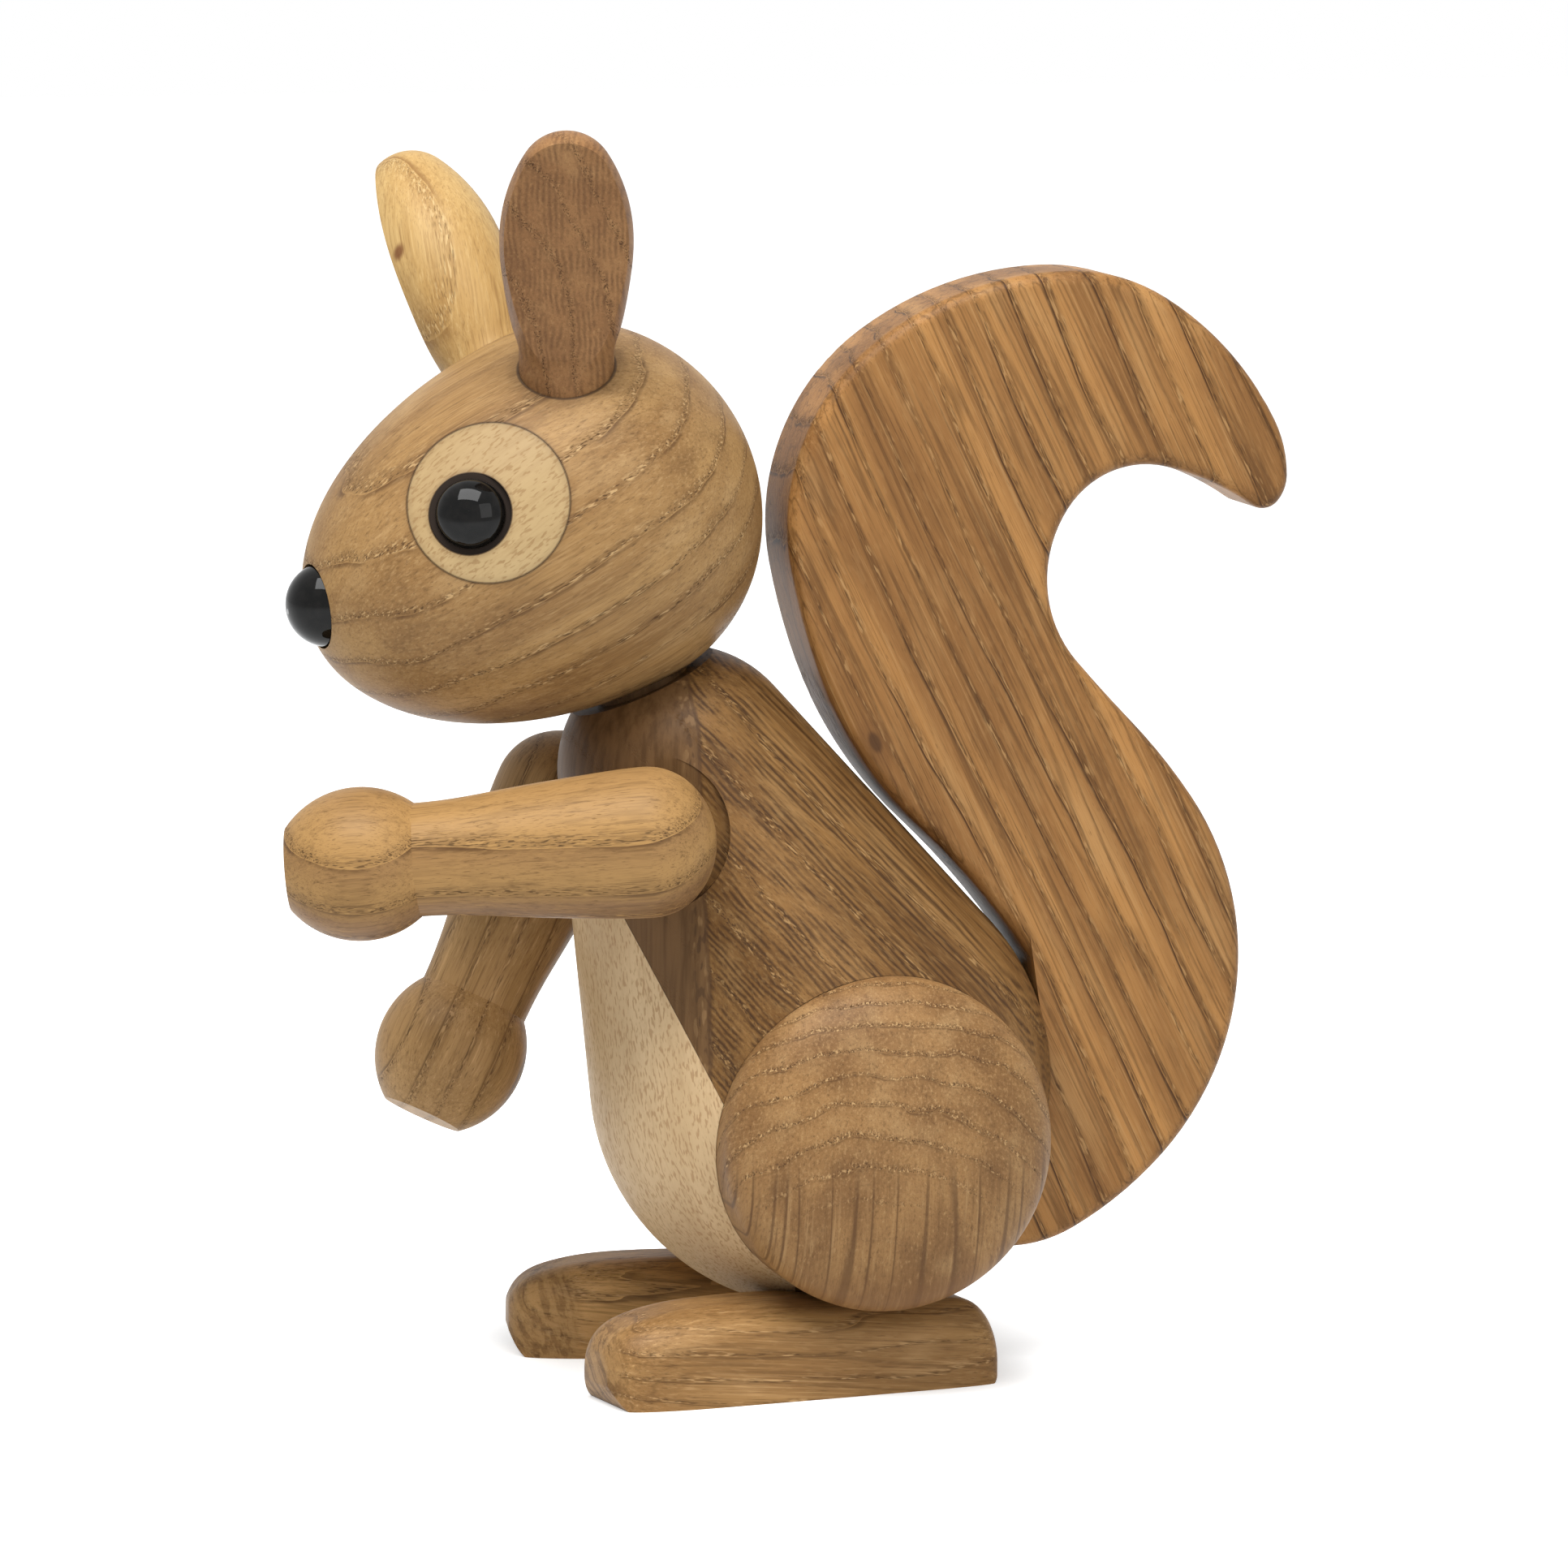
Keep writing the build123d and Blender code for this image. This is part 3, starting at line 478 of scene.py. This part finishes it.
for node, body_name, flutes in (
    ("neck_peg", "torso", 0), ("shoulder_peg_left", "arm_left", 0), ("shoulder_peg_right", "arm_right", 0),
    ("thigh_dowel_left", "torso", 12), ("thigh_dowel_right", "torso", 12),
    ("foot_dowel_left", "torso", 12), ("foot_dowel_right", "torso", 12),
    ("tail_dowel_upper", "torso", 12), ("tail_dowel_lower", "torso", 12),
):
    rod = rod_in_place(node, flutes, body_oak if node == "neck_peg" else birch_bare)
    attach(rod, body_name)
    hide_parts(node)


# Thighs: thick domed oak buttons, turned and let into round seats in the sides.
# The grain leans out of the dome, so its upper half shows pores in wavy bands.
def over_height(low, high, at_low, at_high):
    """A setting that goes from one value to another between two heights."""
    def setting(tree, where):
        return fade(tree, axes_of(tree, where)[2], low, high, at_low, at_high)

    return setting


def long_grain_below(tree, where, wood):
    """Upright fibres and dark lines on the lower half of the dome, and a darker orange band along the bottom
    of the rim, painted shade where the dome turns down.
    """
    fibre_dark, fibre_pale = (0.120, 0.058, 0.021), (0.430, 0.262, 0.116)
    vein_dark, painted_shade_orange = (0.085, 0.038, 0.014), (0.190, 0.085, 0.026)
    below = over_height(0.034, 0.026, 0.0, 1.0)(tree, where)
    fibre = mottle(tree, stretched(tree, where, (0.0, 1500.0, 60.0)), 3.0, 0.65)
    wood = stain(tree, sum_step(tree, "MULTIPLY", below, fade(tree, fibre, 0.50, 0.76, 0.0, 0.60)),
                 wood, fibre_dark)
    wood = stain(tree, sum_step(tree, "MULTIPLY", below, fade(tree, fibre, 0.46, 0.26, 0.0, 0.55)),
                 wood, fibre_pale)
    swell = mottle(tree, stretched(tree, where, (0.0, 260.0, 9.0), (0.0, 5.0, 2.0)), 1.0)
    near_half = sum_step(tree, "ABSOLUTE", sum_step(tree, "SUBTRACT", swell, 0.5))
    vein = fade(tree, near_half, 0.030, 0.006, 0.0, 0.65)
    wood = stain(tree, sum_step(tree, "MULTIPLY", below, vein), wood, vein_dark)
    # Painted shade: the bottom of the dome is coloured darker orange, where it turns away from the light.
    rim = over_height(0.0195, 0.0125, 0.0, 0.50)(tree, where)
    return stain(tree, rim, wood, painted_shade_orange)


for side, side_name in ((1.0, "left"), (-1.0, "right")):
    thigh_oak = oak_finish(
        "thigh_oak_" + side_name, along=(0.75 * side, -0.05, 0.66), rings=(-0.66 * side, 0.12, 0.75),
        pith=(0.090 * side, 0.000, -0.040), marks=(long_grain_below,),
        ring_width=3.0, waviness=7.0, streak_amount=0.0,
        ring_contrast=over_height(0.024, 0.036, 0.0, 0.80),
        pore_amount=over_height(0.022, 0.034, 0.3, 1.5), fleck_amount=over_height(0.022, 0.034, 0.2, 1.4),
        pale=(0.305, 0.165, 0.063), brown=(0.210, 0.107, 0.040), dark=(0.072, 0.033, 0.012),
        sap=(0.460, 0.285, 0.126),
    )
    thigh = sanded_copy("thigh_" + side_name, "thigh_button_" + side_name)
    fit_piece(thigh, "thigh_" + side_name, "torso", thigh_oak)


# Feet: sawn oak bars with flat soles, rounded over and hollowed for the body.
# Their grain runs from heel to toe, and the toes show end grain.
def toe_end_grain(tree, where, wood):
    """Slanting pale and dark stripes on the toe, where the bar is sawn across."""
    stripe_pale, stripe_dark = (0.330, 0.190, 0.075), (0.090, 0.042, 0.014)
    toe_slant = 0.17
    apart = axes_of(tree, where)
    aside = sum_step(tree, "ABSOLUTE", apart[0])
    ahead = sum_step(tree, "MULTIPLY_ADD", aside, toe_slant, apart[1])
    end = fade(tree, ahead, -0.0200, -0.0225)
    place = in_millimetres(
        tree, where, centre=(0.0, -0.024, 0.006), along=(0.6, 0.15, -0.75), face=(0.75, 0.0, 0.6))
    stripes = mottle(tree, stretched(tree, place, (1.1, 1.1, 0.10)), 3.0, 0.6)
    cut = stain(tree, fade(tree, stripes, 0.42, 0.60), stripe_pale, stripe_dark)
    return stain(tree, sum_step(tree, "MULTIPLY", end, 0.55), wood, cut)


# The right foot is coloured paler than the left. This is painted light that lifts it out of the shade it
# stands in under the body.
for side, side_name, pale, brown in (
    (1.0, "left", (0.400, 0.226, 0.083), (0.260, 0.136, 0.047)),
    (-1.0, "right", (0.560, 0.327, 0.123), (0.440, 0.241, 0.086)),
):
    foot_oak = oak_finish(
        "foot_oak_" + side_name, along=(0.16 * side, -0.98, 0.10), rings=(-0.5 * side, 0.0, 0.85),
        pith=(0.020 * side, 0.0, -0.030), marks=(toe_end_grain,),
        ring_width=3.4, waviness=14.0, ring_contrast=0.9, pore_amount=0.8, fleck_amount=0.6,
        streak_amount=0.5,
        pale=pale, brown=brown, dark=(0.080, 0.037, 0.012),
    )
    foot = sanded_copy("foot_" + side_name, "foot_bar_" + side_name)
    fit_piece(foot, "foot_" + side_name, "torso", foot_oak)


# Tail: an S sawn from an oak plank, its edges rounded over all the way round.
# It is housed in a groove in the back and pinned there with two dowels.
def small_knot(tree, where, wood):
    """A small brown knot by the front edge of the plank."""
    halo_brown, heart_dark = (0.150, 0.066, 0.022), (0.060, 0.026, 0.010)
    place = in_millimetres(
        tree, where, centre=(0.00725, 0.0115, 0.0805), along=(1.0, 0.0, 0.0), face=(0.0, 0.43, -0.90))
    off = distance_off_axis(tree, stretched(tree, place, (0.50, 0.95, 1.0)))
    outside = fade(tree, axes_of(tree, place)[2], -3.0, -1.5)
    halo = sum_step(tree, "MULTIPLY", fade(tree, off, 2.6, 0.8, 0.0, 0.45), outside)
    heart = sum_step(tree, "MULTIPLY", fade(tree, off, 0.95, 0.45, 0.0, 0.8), outside)
    return stain(tree, heart, stain(tree, halo, wood, halo_brown), heart_dark)


tail_oak = oak_finish(
    "tail_oak", along=(0.0, 0.43, -0.90), rings=(0.12, 0.90, 0.43), pith=(0.0, -0.075, 0.020),
    marks=(small_knot,),
    ring_width=4.4, waviness=7.0, ring_contrast=1.5, pore_amount=0.85, fleck_amount=0.7, streak_amount=0.8,
    pale=(0.410, 0.201, 0.063), brown=(0.232, 0.107, 0.033), dark=(0.064, 0.027, 0.008),
    sap=(0.445, 0.255, 0.100),
)
tail = sanded_copy("tail", "tail_plank")
fit_piece(tail, "tail", "torso", tail_oak)


# Head: an egg turned from oak, lying across the neck and turning on its peg.
# The grain climbs from the chin to the back of the crown, so the cheeks show slanting lines.
def flat_end(node, towards):
    """The middle of a node's largest flat that faces one way, and the way into the piece from it."""
    flats = {}
    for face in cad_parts[node].data.polygons:
        if face.normal.dot(Vector(towards)) > 0.5:
            flats.setdefault(tuple(round(part, 2) for part in face.normal), []).append(face)
    faces = max(flats.values(), key=lambda group: sum(face.area for face in group))
    area = sum(face.area for face in faces)
    middle = sum((face.center * face.area for face in faces), Vector()) / area
    return middle, -faces[0].normal


# A round mark looks the same from every side, so any way across its axis will do
any_side = (0.31, 0.53, 0.79)


def glue_line_and_shade(node, towards, radius, width, amount):
    """A mark for the glue line where a round plug stands in its hole, darkened further as painted crevice
    shade, with a soft halo of painted shade round it, sizes in millimetres.
    """
    painted_shade_brown, line_dark = (0.110, 0.055, 0.022), (0.045, 0.022, 0.010)
    middle, outward = flat_end(node, towards)

    def mark(tree, where, wood):
        place = in_millimetres(tree, where, middle, outward, any_side)
        outside = fade(tree, axes_of(tree, place)[2], 0.0, 1.0)
        away = sum_step(tree, "ABSOLUTE", sum_step(tree, "SUBTRACT", distance_off_axis(tree, place), radius))
        # The soft brown halo is painted shade round the hole. The dark line is the glue line with painted
        # crevice shade in it.
        soft = sum_step(tree, "MULTIPLY", fade(tree, away, width * 5.0, width, 0.0, amount * 0.30), outside)
        line = sum_step(tree, "MULTIPLY", fade(tree, away, width, width * 0.4, 0.0, amount), outside)
        return stain(tree, line, stain(tree, soft, wood, painted_shade_brown), line_dark)

    return mark


head_oak = oak_finish(
    "head_oak", along=(0.10, 0.86, 0.50), rings=(0.20, -0.50, 0.84), pith=(-0.030, 0.045, -0.016),
    marks=(
        glue_line_and_shade("eye_disc_left", (-1.0, 0.0, 0.0), radius=10.15, width=0.22, amount=0.55),
        glue_line_and_shade("eye_disc_right", (1.0, 0.0, 0.0), radius=10.15, width=0.22, amount=0.55),
        glue_line_and_shade("ear_left", (0.0, 0.0, -1.0), radius=5.95, width=0.40, amount=0.8),
        glue_line_and_shade("ear_right", (0.0, 0.0, -1.0), radius=5.95, width=0.40, amount=0.8),
    ),
    ring_width=5.6, waviness=7.0, ring_contrast=1.0, pore_amount=1.1, fleck_amount=1.1, streak_amount=0.3,
    pale=(0.380, 0.223, 0.086), brown=(0.272, 0.150, 0.056), dark=(0.098, 0.046, 0.017),
    sap=(0.476, 0.306, 0.140),
)
head = sanded_copy("head", "egg_head")
fit_piece(head, "head", "head", head_oak)


# Eyes and nose: maple plugs in the cheeks, shouldered black beads and a black nose.
# The beads are polished and glued in, and they mirror the light box above.
def bead_finish(name, dome_radius=None, middle=None, outward=None):
    """Black gloss with the faintest cloud in it. An eye bead is matt and brown outside its dome."""
    black, black_cloud = (0.0035, 0.0035, 0.0033), (0.0065, 0.006, 0.0055)
    shoulder_brown = (0.016, 0.009, 0.005)
    finish, tree, skin, where = new_finish(name)
    skin.inputs["Specular IOR Level"].default_value = 0.16
    cloud = mottle(tree, stretched(tree, where, (900.0, 900.0, 900.0)), 2.0)
    colour = stain(tree, fade(tree, cloud, 0.35, 0.65), black, black_cloud)
    shine = fade(tree, cloud, 0.0, 1.0, 0.035, 0.055)
    if dome_radius:
        place = in_millimetres(tree, where, middle, outward, any_side)
        shoulder = fade(tree, distance_off_axis(tree, place), dome_radius - 0.1, dome_radius + 0.05)
        colour = stain(tree, shoulder, colour, shoulder_brown)
        shine = sum_step(tree, "MULTIPLY_ADD", shoulder, 0.5, shine)
    tree.links.new(colour, skin.inputs["Base Color"])
    tree.links.new(shine, skin.inputs["Roughness"])
    return finish


eye_dome_radius = 4.35
for side, side_name in ((1.0, "left"), (-1.0, "right")):
    inward = (-side, 0.0, 0.0)
    disc_maple = maple_finish(
        "disc_maple_" + side_name, along=(0.0, 0.8, 0.6), rings=(0.2, -0.5, 0.8), pith=(0.0, 0.05, 0.05),
        pale=(0.455, 0.323, 0.160), fleck=(0.26, 0.150, 0.060),
        marks=(
            glue_line_and_shade("eye_disc_" + side_name, inward, radius=10.10, width=0.20, amount=0.55),
            glue_line_and_shade("eye_" + side_name, inward, radius=5.15, width=0.16, amount=0.8),
        ),
    )
    disc = sanded_copy("eye_disc_" + side_name, "cheek_plug_" + side_name)
    fit_piece(disc, "eye_disc_" + side_name, "head", disc_maple)
    middle, outward = flat_end("eye_" + side_name, inward)
    eye_black = bead_finish("eye_black_" + side_name, eye_dome_radius, middle, outward)
    eye = sanded_copy("eye_" + side_name, "eye_bead_" + side_name)
    fit_piece(eye, "eye_" + side_name, "head", eye_black)
nose = sanded_copy("nose", "nose_bead")
fit_piece(nose, "nose", "head", bead_finish("nose_black"))


# Ears: turned oak drops with a flat sawn on the outer side, glued into round holes.
# The left is coloured dark brown, painted shade on its face that turns down, and the right pale, painted
# light on its face that turns up.
def ear_stain(tree, where, wood):
    """A small red-brown stain on the front of the pale ear."""
    red_brown = (0.150, 0.050, 0.020)
    place = in_millimetres(
        tree, where, centre=(-0.019, -0.0438, 0.1413), along=(0.96, -0.24, 0.12), face=(0.0, 0.3, 0.9))
    off = distance_off_axis(tree, stretched(tree, place, (0.55, 0.95, 1.0)))
    outside = fade(tree, axes_of(tree, place)[2], -4.0, -3.0)
    spot = sum_step(tree, "MULTIPLY", fade(tree, off, 0.85, 0.25, 0.0, 0.85), outside)
    return stain(tree, spot, wood, red_brown)


# Painted shade: the left ear's colours are darker than the right's.
ear_left_oak_painted_shade = oak_finish(
    "ear_left_oak_painted_shade", along=(0.88, -0.30, 0.30), rings=(0.12, 0.99, -0.10), pith=(0.0, -0.060, 0.120),
    ring_width=4.5, waviness=8.0, ring_contrast=0.35, pore_amount=1.4, stripe_amount=0.65, streak_amount=0.0,
    pale=(0.300, 0.152, 0.060), brown=(0.240, 0.116, 0.045), dark=(0.100, 0.044, 0.017),
    sap=(0.400, 0.225, 0.095),
)
# Painted light: the right ear's colours are paler than the left's.
ear_right_oak_painted_light = oak_finish(
    "ear_right_oak_painted_light", along=(-0.40, -0.05, 0.90), rings=(0.5, -0.8, 0.2), pith=(-0.090, 0.060, 0.110),
    marks=(ear_stain,),
    ring_width=8.0, waviness=7.0, ring_contrast=0.85, pore_amount=0.6, fleck_amount=0.8,
    pale=(0.556, 0.368, 0.150), brown=(0.475, 0.290, 0.104), dark=(0.218, 0.106, 0.033),
    sap=(0.646, 0.456, 0.214),
)
fit_piece(sanded_copy("ear_left", "ear_drop_left"), "ear_left", "head", ear_left_oak_painted_shade)
fit_piece(sanded_copy("ear_right", "ear_drop_right"), "ear_right", "head", ear_right_oak_painted_light)


# Arms: turned oak with ball hands and waisted wrists, swinging on shoulder pegs.
# The left is cut where brown heartwood meets paler wood, with a pore line between them.
arm_left_oak = oak_finish(
    "arm_left_oak", along=(-0.29, -0.95, -0.08), rings=(0.35, 0.0, 0.94), pith=(0.010, -0.020, 0.040),
    ring_width=5.5, waviness=3.0, ring_contrast=0.9, pore_amount=1.3, fleck_amount=1.3, sap_radius=32.0,
    pale=(0.285, 0.160, 0.072), brown=(0.205, 0.110, 0.047), dark=(0.070, 0.031, 0.011),
    sap=(0.400, 0.228, 0.082),
)
arm_right_oak = oak_finish(
    "arm_right_oak", along=(0.14, -0.46, -0.88), rings=(0.10, 0.88, -0.45), pith=(-0.034, -0.120, 0.103),
    ring_width=4.0, waviness=3.0, ring_contrast=0.9, pore_amount=1.0,
    pale=(0.420, 0.250, 0.104), brown=(0.320, 0.182, 0.070), dark=(0.095, 0.047, 0.017),
)
fit_piece(sanded_copy("arm_left", "arm_turning_left"), "arm_left", "arm_left", arm_left_oak)
fit_piece(sanded_copy("arm_right", "arm_turning_right"), "arm_right", "arm_right", arm_right_oak)


# Studio: a white table that keeps the contact shadow and a white room. A large light box
# hangs overhead and a weaker one at the camera side, with a long lens at the photograph's angle.
scene = bpy.context.scene
scene.view_settings.view_transform = "Standard"



def seen_directly(tree):
    """1 for a ray that shows the background itself, in the camera, in gloss or through glass, otherwise 0."""
    rays = tree.nodes.new("ShaderNodeLightPath").outputs
    seen = sum_step(tree, "MAXIMUM", rays["Is Camera Ray"], rays["Is Transmission Ray"])
    return sum_step(tree, "MAXIMUM", seen, rays["Is Glossy Ray"])


table_mesh = bpy.data.meshes.new("table")
table_reach = 3.0
table_mesh.from_pydata(
    [(x * table_reach, y * table_reach, 0.0) for x, y in ((-1, -1), (1, -1), (1, 1), (-1, 1))],
    [],
    [(0, 1, 2, 3)],
)
table = bpy.data.objects.new("table", table_mesh)
scene.collection.objects.link(table)
table_white, tree, skin, where = new_finish("table_white")
skin.inputs["Base Color"].default_value = (0.80, 0.82, 0.83, 1.0)
skin.inputs["Roughness"].default_value = 0.9
skin.inputs["Specular IOR Level"].default_value = 0.0
skin.inputs["Emission Color"].default_value = (1.0, 1.0, 1.0, 1.0)
shadow_stretch, shadow_core, shadow_edge, shadow_glow = (0.8, 1.45, 1.0), 0.034, 0.070, 0.44
beside = distance_off_axis(tree, stretched(tree, where, shadow_stretch))
glow = fade(tree, beside, shadow_core, shadow_edge, shadow_glow, 1.0)
tree.links.new(sum_step(tree, "MULTIPLY", seen_directly(tree), glow), skin.inputs["Emission Strength"])
table_mesh.materials.append(table_white)

room = bpy.data.worlds.new("white_room")
scene.world = room
room.use_nodes = True
tree = room.node_tree
air = tree.nodes["Background"]
air.inputs["Color"].default_value = (1.0, 1.0, 1.0, 1.0)
fill_light, white = 0.24, 1.0
tree.links.new(fade(tree, seen_directly(tree), 0.0, 1.0, fill_light, white), air.inputs["Strength"])


def light_box(name, place, target, size, watts):
    """A soft lamp that faces its target."""
    lamp = bpy.data.lights.new(name, "AREA")
    lamp.shape = "RECTANGLE"
    lamp.size, lamp.size_y = size
    lamp.energy = watts
    holder = bpy.data.objects.new(name, lamp)
    holder.location = place
    holder.rotation_euler = (Vector(target) - Vector(place)).to_track_quat("-Z", "Y").to_euler()
    scene.collection.objects.link(holder)


light_box("overhead_box", place=(0.35, -0.20, 0.85), target=(0.0, 0.0, 0.06), size=(0.7, 0.5), watts=11.0)
light_box("camera_side_box", place=(0.9, 0.35, 0.45), target=(0.0, 0.0, 0.08), size=(0.6, 0.6), watts=2.2)

lens = bpy.data.cameras.new("long_lens")
lens.sensor_width = 36.0
lens.lens = 218.0
lens.clip_end = 20.0
camera = bpy.data.objects.new("camera", lens)
scene.collection.objects.link(camera)
aim = Vector((0.0, 0.0015, 0.07465))
distance = 1.2
swing = math.radians(14.2)
climb = math.radians(7.2)
outward = Vector((math.cos(climb) * math.cos(swing), -math.cos(climb) * math.sin(swing), math.sin(climb)))
camera.location = aim + outward * distance
camera.rotation_euler = (-outward).to_track_quat("-Z", "Y").to_euler()
scene.camera = camera
